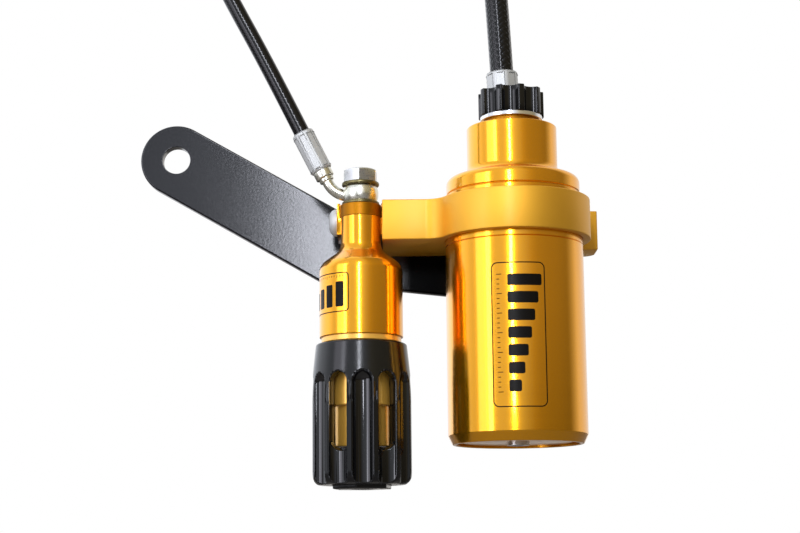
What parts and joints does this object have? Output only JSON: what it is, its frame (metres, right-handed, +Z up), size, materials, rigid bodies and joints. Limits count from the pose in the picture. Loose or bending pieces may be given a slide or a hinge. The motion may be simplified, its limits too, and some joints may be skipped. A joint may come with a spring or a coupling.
{
  "type": "motorcycle shock reservoir and preload adjuster unit",
  "caption": "Remote gas reservoir with a compression knob and a hydraulic spring preload adjuster on a clamp arm and steel strap, with their hoses.",
  "frame": {"origin": "centre of the strap's fixing hole, on the strap's back face", "axes": "+X to the right along the unit, +Y back through the fixing hole towards the motorcycle, +Z up along the reservoir's axis"},
  "size_m": [0.1849, 0.063, 0.3328],
  "materials": {
    "gold_anodised": "gold anodised, fine turned",
    "dark_gold_anodised": "dark gold anodised",
    "black_anodised": "satin black anodised",
    "black_coated_steel": "black powder coat",
    "zinc_plated": "bright zinc plated",
    "steel": "plain steel",
    "hard_aluminium": "plain turned",
    "crush_washer": "dull, annealed",
    "bronze": "plain bronze",
    "seal_rubber": "nitrile rubber",
    "guide_plastic": "filled plastic",
    "hose_cover": "clear glossy cover over a dark braid"
  },
  "bodies": {
    "unit": {"adjuster_body": "gold_anodised", "adjuster_fixing_screw": "zinc_plated", "adjuster_sleeve": "gold_anodised", "banjo_bolt": "zinc_plated", "banjo_eye": "zinc_plated", "banjo_washers": "crush_washer", "check_valve_plate": "steel", "check_valve_spring": "steel", "clamp_arm": "gold_anodised", "compression_collar": "gold_anodised", "compression_detent_ball": "steel", "compression_detent_spring": "steel", "compression_shims": "steel", "compression_valve_body": "steel", "end_cap": "gold_anodised", "end_cap_circlip": "steel", "end_cap_seal": "seal_rubber", "gas_valve_screw": "steel", "gas_valve_seal": "seal_rubber", "head_seal": "seal_rubber", "hose_nipple": "zinc_plated", "pinch_screw": "zinc_plated", "port_bush": "dark_gold_anodised", "preload_detent_ball": "steel", "preload_detent_spring": "steel", "preload_hose": "hose_cover", "preload_hose_far_eye": "zinc_plated", "preload_hose_far_ferrule": "zinc_plated", "preload_hose_ferrule": "zinc_plated", "reservoir_head": "gold_anodised", "reservoir_hose": "hose_cover", "reservoir_hose_far_eye": "zinc_plated", "reservoir_hose_far_ferrule": "zinc_plated", "reservoir_hose_ferrule": "zinc_plated", "reservoir_tube": "gold_anodised", "strap_screws": "zinc_plated", "support_strap": "black_coated_steel", "thrust_washer": "bronze", "valve_nut": "steel"},
    "floating_piston": {"floating_piston": "hard_aluminium", "piston_seal": "seal_rubber", "piston_guide_ring": "guide_plastic"},
    "compression_knob": {"compression_knob": "black_anodised", "knob_washer": "steel", "knob_retaining_ring": "steel"},
    "compression_needle": {"compression_needle": "steel"},
    "preload_knob": {"adjuster_knob": "black_anodised", "adjuster_spindle": "steel", "knob_screw": "steel"},
    "preload_piston": {"adjuster_piston": "hard_aluminium", "adjuster_piston_seal": "seal_rubber"}
  },
  "joints": [
    {"name": "preload_knob_turn", "type": "hinge", "parent": "unit", "child": "preload_knob", "pos_m": [0.0745, -0.034, 0], "axis": [0, 0, 1], "range_deg": [0, 2880]},
    {"name": "preload_piston_slide", "type": "slide", "parent": "unit", "child": "preload_piston", "axis": [0, 0, 1], "range_m": [0, 0.00801]},
    {"name": "compression_knob_turn", "type": "hinge", "parent": "unit", "child": "compression_knob", "pos_m": [0.1325, -0.034, 0], "axis": [0, 0, 1], "range_deg": [-360, 360]},
    {"name": "compression_needle_slide", "type": "slide", "parent": "unit", "child": "compression_needle", "axis": [0, 0, 1], "range_m": [-0.00101, 0.00101]},
    {"name": "floating_piston_slide", "type": "slide", "parent": "unit", "child": "floating_piston", "axis": [0, 0, 1], "range_m": [-0.018, 0.02]}
  ],
  "couplings": [
    {"joint": "preload_piston_slide", "follows": "preload_knob_turn", "m_per_rad": 0.00015915},
    {"joint": "compression_needle_slide", "follows": "compression_knob_turn", "m_per_rad": 0.00015915}
  ]
}
